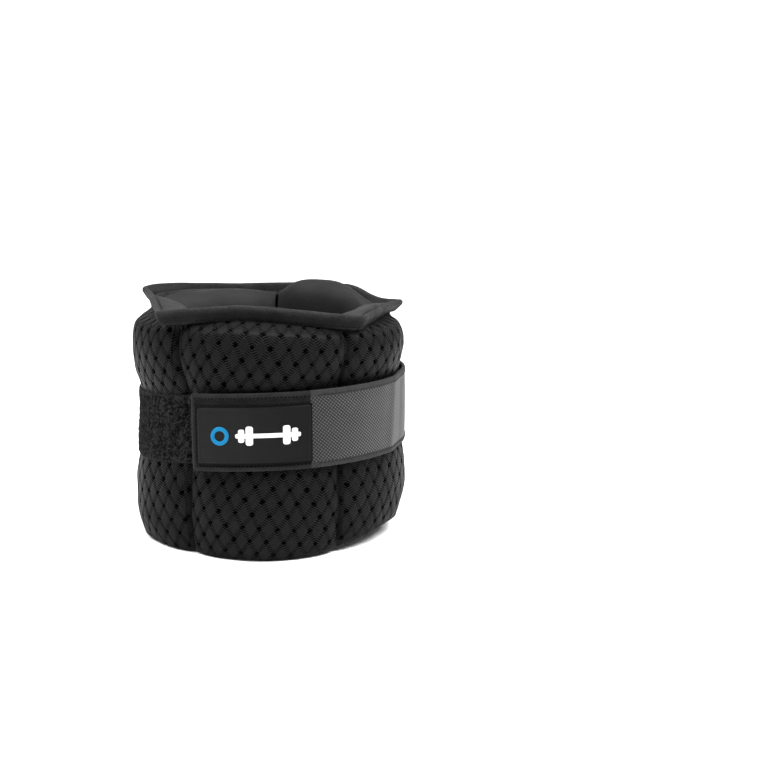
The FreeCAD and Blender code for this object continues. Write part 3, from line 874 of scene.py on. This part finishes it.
def strap_pieces():
    sheet, trim = strap_length(
        "cloth_tab", END + 1.0, TAB_STOP, "strap_end", TAB_CLOTH, TAB_EDGE, "strap_tab", ends=[strap_end_tape])
    for piece in strap_length("webbing_bend", TAB_STOP, RUN_START, None, WEBBING, STRAP_EDGE):
        blend_across(piece)
    sheet, trim = strap_length("webbing_run", RUN_START, RUN_STOP, "strap", WEBBING, STRAP_EDGE, "strap_web")
    theta, h = patch(PAD_LOW, PAD_HIGH, -PAD_HALF, PAD_HALF, PAD_R, 0.7)
    level = h + waist_lift(theta)
    hooks = 0.14 * noise(polar(PAD_R, theta, level), 0.8, 41)
    back_theta, back_level = coarse(theta, level)
    # the hooks' tone follows their height: painted shade in the hollows between them
    pad = closed_sheet(
        "hook_face", polar(PAD_R - hooks, theta, level), polar(70.2, back_theta, back_level),
        np.stack([theta, h], -1), np.clip(0.5 + hooks * 3, 0, 1))
    finish_piece(pad, "strap_end", HOOK, "hook_tape", "hook_pad")
    looks = dict(pitch=1.9, fill=0.8, radius=0.36, slant=0.55)
    rows = border_rows(END + 1.5, TAB_STOP, **looks) + [strap_row(END + 2.6, np.linspace(-15, 15, 60), **looks)]
    stitches("tab_stitches", rows, "strap_end", DARK_THREAD)
    stitches("run_stitches", border_rows(RUN_START, RUN_STOP, pitch=2.2, radius=0.22), "strap", THREAD)


def root_point(theta, h, out):
    """Points of the strap's root, which comes down onto the last panel's shell."""
    theta, h = np.broadcast_arrays(theta, h)
    down = smooth((theta - RUN_STOP) / 14.0)[..., None]
    return strap_points(theta, h, STRAP_OUT + out) * (1 - down) + form_point(theta, h, out=2.3 + out) * down


def strap_root():
    """The strap's sewn end."""
    theta, h = patch(RUN_STOP, SEWN_END, -CLOTH_HALF, CLOTH_HALF, STRAP_R, 0.4)
    relief, tone = twill(np.radians(theta) * STRAP_R, h)
    outer, back = root_point(theta, h, relief - 0.35), root_point(*coarse(theta, h), -1.55)
    sheet = closed_sheet("webbing_root", outer, back, np.stack([theta, h], -1), tone)
    finish_piece(sheet, None, WEBBING, "webbing", "strap_anchor")
    angles = np.linspace(RUN_STOP, SEWN_END, 50)
    parts = [
        tape("edge", [root_point(angles, side * (STRAP_HALF - EDGE_TAPE + across), out - 0.85)
                      for out, across in edge_section(1.0)])
        for side in (-1, 1)
    ]
    heights = np.linspace(-STRAP_HALF + 0.3, STRAP_HALF - 0.3, 50)
    parts.append(tape("end", [
        root_point(SEWN_END - 0.6 + np.degrees(1.4 * math.cos(t) / STRAP_R), heights, math.sin(t) - 0.85)
        for t in np.linspace(0, 2 * math.pi, 12, endpoint=False)]))
    trim = join("root_edge_tape", parts)
    finish_piece(trim, None, STRAP_EDGE, "webbing")
    for piece in (sheet, trim):
        blend_across(piece)
    angles, heights = np.linspace(BOX_LOW, BOX_HIGH, 40), np.linspace(-BOX_HALF, BOX_HALF, 40)
    box = [(angles, -BOX_HALF), (angles, BOX_HALF), (BOX_LOW, heights), (BOX_HIGH, heights),
           (angles, heights), (angles, -heights)]
    rows = []
    for theta, h in box:
        line = root_point(theta, h, 0.1)
        away = line * (1, 1, 0)
        rows.append(stitch_row(line, away / np.linalg.norm(away, axis=1, keepdims=True), pitch=2.4, radius=0.3))
    stitches("anchor_box_stitches", rows, "back_right_panel", THREAD, "anchor_stitching")


# -------- label

LABEL_LOW, LABEL_HIGH, LABEL_HALF = -116.8, -69.6, 14.9
LABEL_DROP = 1.2
LABEL_R = 72.0
PRINT_LOW, PRINT_HIGH = 0.7, 1.32
# width, height, corner, points round a corner, and place along the label
BAR = (32.0, 2.2, 0.6, 4, 7.5)
PLATES = [(3.6, 9.6, 1.2, 8, -1.6), (3.0, 6.6, 1.0, 8, -5.6), (3.6, 9.6, 1.2, 8, 16.6), (3.0, 6.6, 1.0, 8, 20.6)]
RING_AT = -16.6


def label_point(u, h, out):
    """A point on the label: u mm along the strap from its middle, rising with plan angle, h mm up."""
    theta = (LABEL_LOW + LABEL_HIGH) / 2 + np.degrees(np.asarray(u, float) / LABEL_R)
    return strap_points(theta, np.asarray(h, float) - LABEL_DROP, STRAP_OUT + out)


def label():
    width, height = arc(LABEL_LOW, LABEL_HIGH, LABEL_R), 2 * LABEL_HALF
    u, h = np.meshgrid(*(np.linspace(-size / 2, size / 2, steps(size, 0.35)) for size in (width, height)))
    edge = np.minimum(width / 2 - np.abs(u), height / 2 - np.abs(h))
    groove = np.clip(1 - smooth((edge - 0.9) / 0.5), 0, 1)
    level = 0.25 + 0.75 * smooth((edge - 0.7) / 0.5) + 0.12 * near(edge, 1.7, 0.35)
    # painted shade in the groove round the edge, which is coloured near black, and a painted reflection: the face
    # is lighter at its left end and darker towards its right
    tone = (1 - 0.96 * groove) * (1 - 0.5 * smooth((u + width * 0.25) / (width * 0.7)))
    outer, back = label_point(u, h, 0.15 + level), label_point(*coarse(u, h), -0.1)
    obj = closed_sheet("label_rubber_patch", outer, back, np.stack([u, h], -1), tone)
    finish_piece(obj, "strap_end", RUBBER, "label_rubber", "label_patch")


def rounded(width, height, corner, per_corner):
    """Outline of a rounded rectangle, anticlockwise."""
    points = []
    for k, (sx, sy) in enumerate(((1, 1), (-1, 1), (-1, -1), (1, -1))):
        for t in np.linspace(0, math.pi / 2, per_corner):
            a = k * math.pi / 2 + t
            points.append((sx * (width / 2 - corner) + corner * math.cos(a),
                           sy * (height / 2 - corner) + corner * math.sin(a)))
    return np.array(points)


def raised_patch(name, outline, along):
    """A thin raised print on the label with this outline in mm."""
    dense = []
    for a, b in zip(outline, np.roll(outline, -1, axis=0)):
        count = max(1, math.ceil(np.linalg.norm(b - a) / 0.8))
        dense += [a + (b - a) * k / count for k in range(count)]
    bm = bmesh.new()
    bm.faces.new([bm.verts.new((x + along, y, 0)) for x, y in dense])
    bmesh.ops.triangulate(bm, faces=bm.faces[:])
    for _ in range(2):
        long_edges = [e for e in bm.edges if e.calc_length() > 1.2]
        if long_edges:
            bmesh.ops.subdivide_edges(bm, edges=long_edges, cuts=1)
            bmesh.ops.triangulate(bm, faces=[f for f in bm.faces if len(f.verts) > 3])
    made = bmesh.ops.extrude_face_region(bm, geom=bm.faces[:])
    top = {v for v in made["geom"] if isinstance(v, bmesh.types.BMVert)}
    for v in bm.verts:
        v.co = Vector(label_point(v.co.x, v.co.y, PRINT_HIGH if v in top else PRINT_LOW) * MM)
    bmesh.ops.recalc_face_normals(bm, faces=bm.faces)
    mesh = bpy.data.meshes.new(name)
    bm.to_mesh(mesh)
    bm.free()
    return linked(name, mesh)


def pictogram():
    """A plain dumbbell in white and a blue ring beside it: no lettering."""
    parts = [raised_patch("print", rounded(*shape), along) for *shape, along in [BAR] + PLATES]
    finish_piece(join("label_pictogram", parts), "strap_end", WHITE, "label_rubber")
    section = ((PRINT_LOW, 4.8), (PRINT_HIGH, 4.7), (PRINT_HIGH, 2.7), (PRINT_LOW, 2.6))
    rings = [[label_point(RING_AT + r * math.cos(t), r * math.sin(t), out) for out, r in section]
             for t in np.linspace(0, 2 * math.pi, 48, endpoint=False)]
    rings = np.array(rings + rings[:1])
    faces = tube_faces(*rings.shape[:2], capped=False)
    ring = make_object("label_ring", rings.reshape(-1, 3), faces)
    finish_piece(ring, "strap_end", BLUE, "label_rubber")


# -------- padded inner pieces

FRAMES = 20


def coordinates(mesh):
    co = np.zeros(len(mesh.vertices) * 3)
    mesh.vertices.foreach_get("co", co)
    return co.reshape(-1, 3)


def inflate(obj, pressure, cap, pins=None):
    """Blows a closed mesh up with a cloth simulation, and holds each point within cap mm of its start."""
    start = coordinates(obj.data)
    cloth = obj.modifiers.new("cloth", "CLOTH")
    settings = cloth.settings
    set_all(settings, quality=5, mass=0.25, tension_stiffness=12, compression_stiffness=6, shear_stiffness=4,
            bending_stiffness=1.5, air_damping=5, use_pressure=True, uniform_pressure_force=pressure)
    settings.effector_weights.gravity = 0
    set_all(cloth.collision_settings, use_collision=False, use_self_collision=False)
    if pins is not None:
        group = obj.vertex_groups.new(name="pins")
        for index, weight in enumerate(pins):
            if weight > 0:
                group.add([index], float(weight), "REPLACE")
        settings.vertex_group_mass = "pins"
    set_all(cloth.point_cache, frame_start=1, frame_end=FRAMES)
    scene = bpy.context.scene
    for frame_number in range(1, FRAMES + 1):
        scene.frame_set(frame_number)
    delta = coordinates(obj.evaluated_get(bpy.context.evaluated_depsgraph_get()).data) - start
    obj.modifiers.remove(cloth)
    scene.frame_set(1)
    length = np.maximum(np.linalg.norm(delta, axis=1, keepdims=True), 1e-12)
    delta *= np.minimum(1.0, cap * MM / length)
    obj.data.vertices.foreach_set("co", (start + delta).ravel())
    obj.data.update()


def modified(obj, kind, **settings):
    """Adds a modifier and applies it."""
    modifier = obj.modifiers.new(kind, kind)
    set_all(modifier, **settings)
    mesh = bpy.data.meshes.new_from_object(obj.evaluated_get(bpy.context.evaluated_depsgraph_get()))
    obj.modifiers.remove(modifier)
    obj.data = mesh


def rounder(obj, levels):
    modified(obj, "SUBSURF", levels=levels, render_levels=levels)


def unit_grid(rows, cols):
    """t from 0 at one end to 1 at the other, and w from -1 to 1 across."""
    return np.meshgrid(np.linspace(0, 1, rows), np.linspace(-1, 1, cols), indexing="ij")


def along_path(path, t):
    """Points at shares t of a polyline's length, smoothed."""
    path = np.asarray(path, float)
    length = np.concatenate([[0], np.cumsum(np.hypot(*np.diff(path, axis=0).T))])
    grid = np.linspace(0, 1, 300)
    kernel = np.hanning(31)
    kernel /= kernel.sum()
    points = []
    for values in path.T:
        values = np.interp(grid * length[-1], length, values)
        values = np.convolve(np.pad(values, 15, mode="reflect", reflect_type="odd"), kernel, mode="valid")
        points.append(np.interp(t, grid, values))
    return points


# a flap's middle line as (radius, height), from its root at the rim to its foot
FLAP_PATH = [(57.6, 58.0), (55.5, 60.6), (51.5, 61.2), (47.0, 58.6), (43.4, 53.0), (41.2, 46.0), (40.0, 36.0),
             (39.4, 18.0), (39.6, 4.0), (40.0, -4.0)]


def flap_form():
    """The flap before it is blown up, sewn thin at its edges, and how firmly each point is held."""
    t, w = unit_grid(37, 27)
    wide = np.abs(w)
    near_foot = np.clip((t - 0.9) / 0.1, 0, 1)
    near_side = np.clip((wide - 0.80) / 0.20, 0, 1)
    pull = 0.055 * near_foot * near_side ** 2 * near_foot
    r, z = along_path(FLAP_PATH, np.clip(t - pull, 0, 1))
    crown = smooth(t / 0.10) * smooth((0.62 - t) / 0.34)
    z = z - 5.5 * crown * wide ** 3.2
    r = r + smooth((wide - 0.42) / 0.58) * (2.8 * smooth((t - 0.1) / 0.3) + 2.2 * crown)
    turn = (36.0 - 0.9 * smooth(t / 0.9)) * w
    edge = np.minimum((1 - wide) / 0.30, np.minimum(t / 0.12, (1 - t) / 0.16))
    puff = np.sqrt(np.clip(edge, 0, 1))
    pins = np.where(np.minimum(1 - wide, np.minimum(t, 1 - t)) < 0.02, 1.0, 0.0)
    obj = closed_sheet("flap_form", polar(r - 2.2 * puff, turn, z), polar(r + (0.8 + 2.3 * puff) * 0.35, turn, z),
                       np.stack([turn * 0.7, t * 70], -1), sharp=False)
    return obj, np.concatenate([pins.ravel(), np.maximum(pins, 0.85).ravel()])


def pocket_form():
    """The pouch: front wall with a hemmed mouth, curving back to the shell at its sides and floor."""
    t, w = unit_grid(33, 33)
    wide = np.abs(w)
    z = -56.6 + 62.6 * t
    back_in = np.clip((wide - 0.72) / 0.28, 0, 1)
    floor_in = np.clip((0.20 - t) / 0.20, 0, 1)
    curve = 1 - np.sqrt(np.clip(1 - np.maximum(back_in, floor_in) ** 2, 0, 1))
    belly = 1.2 * (1 - w ** 2) * np.sin(np.pi * np.clip(t, 0, 1)) ** 0.8
    r = 43.4 + 15.0 * np.clip(curve, 0, 1) - belly
    turn = 35.6 * np.sin(np.clip(wide, 0, 1) * math.pi / 2 * 0.999) ** 0.9 * np.sign(w)
    back = polar(r + 1.9, turn * (1 - 0.022 * wide), z + 1.5 * floor_in)
    return closed_sheet("pocket_form", polar(r, turn, z), back, np.stack([turn * 0.75, z], -1), sharp=False)


def bag_form():
    """A shot bag: four rounded sides with a flat sewn lip along its top."""
    t, w = unit_grid(25, 21)
    z = -53.0 + 101.0 * t
    bulk = (np.clip(1 - np.abs(w) ** 5, 0, 1) * np.clip(1 - np.abs(2 * t - 1) ** 9, 0, 1)) ** 0.5
    turn = 31.0 * w
    front, back = polar(53.0 - 6.4 * bulk - 0.3, turn, z), polar(53.0 + 6.6 * bulk + 0.3, turn, z)
    return closed_sheet("bag_form", front, back, np.stack([turn, z], -1), sharp=False)


# each flap's shape: how far its crest and its root rise, and how far its middle stands out and up
FLAP_SHAPE = {
    "front": (0.0, 0.5, 0.0), "right": (-1.6, 3.2, 0.0), "back_right": (4.6, 0.0, 3.4),
    "back_left": (-1.0, -0.5, 1.6), "left": (-1.0, 1.0, 0.5),
}


def to_rim(co, angle, crest, rise, dome):
    """Draws a flap's root out to the rim's own line, and lifts or lowers its crest."""
    radius, turn = np.hypot(co[:, 0], co[:, 1]), np.degrees(np.arctan2(co[:, 1], co[:, 0]))
    share = smooth((radius - 49.0) / 8.6)
    foot, _ = rim_foot(turn + angle)
    rim = foot + 0.6 * (rim_radius(turn + angle) - foot)
    radius = radius + share * (rim - 1.6 - 57.6)
    high = smooth((co[:, 2] - 35.0) / 20.0)
    round_out = 0.45 - np.clip(np.abs(turn) / 34.0, 0, 1.1) ** 3.6
    radius = radius - dome * 0.8 * round_out * high * (1 - share)
    crest = crest + dome * (round_out - 0.35)
    lift = (share * 0.75 + 0.25) * high * rim_lift(turn + angle)
    return polar(radius, turn, co[:, 2] + lift + (crest * (1 - share) + rise * share) * high)


def copied(source, name, angle, seed, shape=None):
    """A copy turned to a panel's plan angle, with swells of its own."""
    mesh = source.data.copy()
    co = coordinates(mesh) / MM
    normal = np.zeros(co.size)
    mesh.vertex_normals.foreach_get("vector", normal)
    swell = 0.2 * noise(co, 14.0, seed) + 0.08 * noise(co, 6.0, seed + 1)
    co = co + normal.reshape(-1, 3) * swell[:, None]
    if shape is not None:
        co = to_rim(co, angle, *shape)
    x, y, z = co.T
    cos, sin = math.cos(math.radians(angle)), math.sin(math.radians(angle))
    mesh.vertices.foreach_set("co", (np.stack([x * cos - y * sin, x * sin + y * cos, z], -1) * MM).ravel())
    mesh.update()
    return linked(name, mesh)


TAPE_LOW, TAPE_HIGH, TAPE_TURN = -3.4, 4.4, 24.0


def tape_strip(name, angle, radius, seed, facing):
    """A strip of hook or loop tape across a panel; facing is -1 towards the leg."""
    turn, z = np.meshgrid(np.linspace(-TAPE_TURN, TAPE_TURN, steps(36, 0.6)),
                          np.linspace(TAPE_LOW, TAPE_HIGH, steps(TAPE_HIGH - TAPE_LOW, 0.6)))
    tuft = 0.16 * noise(polar(radius, turn, z), 0.8, seed)
    back_turn, back_z = coarse(turn, z)
    # the tone follows the tufts' height: painted shade in the hollows between them
    return closed_sheet(
        name, polar(radius + facing * (0.35 + tuft), turn + angle, z),
        polar(radius - facing * 0.3, back_turn + angle, back_z),
        np.stack([turn, z], -1), np.clip(0.5 + 2.5 * tuft, 0, 1))


def flap_seams(flap, angle):
    """Stitches on a flap's leg side that hold its hook strip: two straight rows above a zigzag."""
    tree = BVHTree.FromObject(flap, bpy.context.evaluated_depsgraph_get())

    def laid(turns, heights):
        points, ups = [], []
        for out, z in zip(polar(1.0, turns + angle, 0.0), heights):
            hit = tree.ray_cast(Vector((*(out * 25 * MM)[:2], z * MM)), Vector(out))[0]
            if hit is not None:
                points.append(np.array(hit) / MM - out * 0.2)
                ups.append(-out)
        return points, ups

    turns = np.linspace(-27.0, 27.0, 60)
    rows = [stitch_row(*laid(turns, np.full(60, z)), pitch=2.0, radius=0.27) for z in (6.0, 7.2)]
    points, ups = laid(np.linspace(-26.0, 26.0, 25), np.where(np.arange(25) % 2, 3.9, -0.3))
    for start, end, up in zip(points[:-1], points[1:], ups):
        for share in (0.04, 0.54):
            rows.append(capsule(start + (end - start) * share, start + (end - start) * (share + 0.42), 0.27, up))
    return rows


RIBS = (-126.0, -54.0, 90.0, 162.0, 234.0)


def liner(name, low, high):
    """The smooth lining behind the shell, with a rib that fills each seam."""
    theta, s = np.meshgrid(np.linspace(low, high, steps(arc(low, high, 60), 1.5)),
                           np.linspace(FLOOR_Z + 3.0, RIM_Z + 0.8, steps(RIM_Z - FLOOR_Z, 2.0)))
    half_out = 3.4 - 1.1 * smooth((s - 46.0) / 8.0)
    rib = sum(near(theta, middle, 3.4) for middle in RIBS) * 6.0
    front = form_point(theta, s, out=-half_out - 1.6 - rib * smooth((53.0 - s) / 8.0))
    return closed_sheet(name, front, form_point(theta, s, out=-half_out), np.stack([theta, s], -1), sharp=False)


def lining(place):
    low, high = SPANS[place]
    obj = liner("lining_" + place, low, high)
    lay_piece(obj, place, NEOPRENE, "neoprene")


def inner_pieces():
    flap, pins = flap_form()
    inflate(flap, 5.0, 4.0, pins)
    modified(flap, "SMOOTH", factor=0.5, iterations=5)
    rounder(flap, 2)
    pocket = pocket_form()
    rounder(pocket, 1)
    bag = bag_form()
    inflate(bag, 4.0, 2.0)
    rounder(bag, 2)
    for k, (panel, angle) in enumerate(PANELS.items()):
        body, flap_body = BODY[panel], "flap_" + panel
        obj = copied(flap, "flap_neoprene_" + panel, angle, 31 + 7 * k, FLAP_SHAPE[panel])
        finish_piece(obj, None, NEOPRENE, "neoprene", "flap_" + panel)
        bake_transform(obj)
        stitches("flap_stitches_" + panel, flap_seams(obj, angle), flap_body, FLAP_THREAD)
        obj = copied(pocket, "pocket_pouch_" + panel, angle, 33 + 7 * k)
        finish_piece(obj, body, NEOPRENE, "neoprene", "pocket_" + panel)
        obj = copied(bag, "shot_bag_" + panel, angle, 35 + 7 * k)
        finish_piece(obj, body, NYLON, "bag_fabric", "weight_bag_" + panel, "steel_shot_" + panel)
        obj = tape_strip("flap_hooks_" + panel, angle, 41.4, 51 + k, 1)
        finish_piece(obj, flap_body, HOOK, "hook_tape", "flap_hook_" + panel)
        obj = tape_strip("pocket_loops_" + panel, angle, 42.6, 61 + k, -1)
        finish_piece(obj, body, LOOP, "loop_pile", "pocket_loop_" + panel)
        lining(panel)
    for seam in SEAMS:
        lining(seam)
    for form in (flap, pocket, bag):
        bpy.data.objects.remove(form)


# -------- stage

WORLD, SUN, SUN_SPREAD, SUN_TILT = 0.33, 2.0, 60, (2, 6, 0)
CAMERA_AT, CAMERA_DOWN, LENS = (0.0604, -0.805, 0.187), 12.1, 72.1
# name, place in metres, (width, length), watts; all aim at the cuff's middle
LIGHTS = [
    ("right", (0.76, -0.25, 1.12), (0.6, 0.8), 32),
    ("left", (-0.76, -0.15, 1.12), (0.6, 0.8), 25),
    ("top", (0.1, 0.1, 1.4), (1.2, 1.2), 9),
]


def floor_and_backdrop():
    """A pale floor that curves up behind the cuff, in metres."""
    half, turn, top = 7.0, 1.2, 5.0
    profile = [(-half, 0.0), (turn, 0.0)]
    profile += [(turn + turn * math.sin(t), turn - turn * math.cos(t)) for t in np.linspace(0.1, math.pi / 2, 16)]
    profile += [(2 * turn, top)]
    mesh = bpy.data.meshes.new("floor")
    bm = bmesh.new()
    left, right = ([bm.verts.new((x, y, z + FLOOR_Z * MM)) for y, z in profile] for x in (-half, half))
    for k in range(len(profile) - 1):
        bm.faces.new((left[k], right[k], right[k + 1], left[k + 1]))
    bm.to_mesh(mesh)
    bm.free()
    s = Shader("floor_paper", Roughness=0.9)
    s.color((0.9, 0.9, 0.9, 1))
    mesh.materials.append(s.material)
    mesh.polygons.foreach_set("use_smooth", [True] * len(mesh.polygons))
    linked("floor", mesh)


def stage_light_camera():
    floor_and_backdrop()
    world = bpy.data.worlds.new("studio")
    world.use_nodes = True
    background = next(n for n in world.node_tree.nodes if n.type == "BACKGROUND")
    background.inputs[0].default_value = (1, 1, 1, 1)
    background.inputs[1].default_value = WORLD
    bpy.context.scene.world = world
    for name, location, (width, length), watts in LIGHTS:
        data = bpy.data.lights.new(name, "AREA")
        set_all(data, shape="RECTANGLE", size=width, size_y=length, energy=watts)
        aim = (-Vector(location)).to_track_quat("-Z", "Y").to_euler()
        set_all(linked(name, data), location=location, rotation_euler=aim)
    sun = bpy.data.lights.new("sky", "SUN")
    set_all(sun, energy=SUN, angle=math.radians(SUN_SPREAD))
    linked("sky", sun).rotation_euler = [math.radians(a) for a in SUN_TILT]
    lens = bpy.data.cameras.new("camera")
    set_all(lens, sensor_width=36.0, lens=LENS)
    camera = linked("camera", lens)
    set_all(camera, location=CAMERA_AT, rotation_euler=(math.radians(90 - CAMERA_DOWN), 0, 0))
    bpy.context.scene.camera = camera
    bpy.context.scene.view_settings.view_transform = "Standard"


# -------- everything

shells()
bindings()
binding_stitches()
loop_bands()
strap_pieces()
strap_root()
label()
pictogram()
inner_pieces()
stage_light_camera()
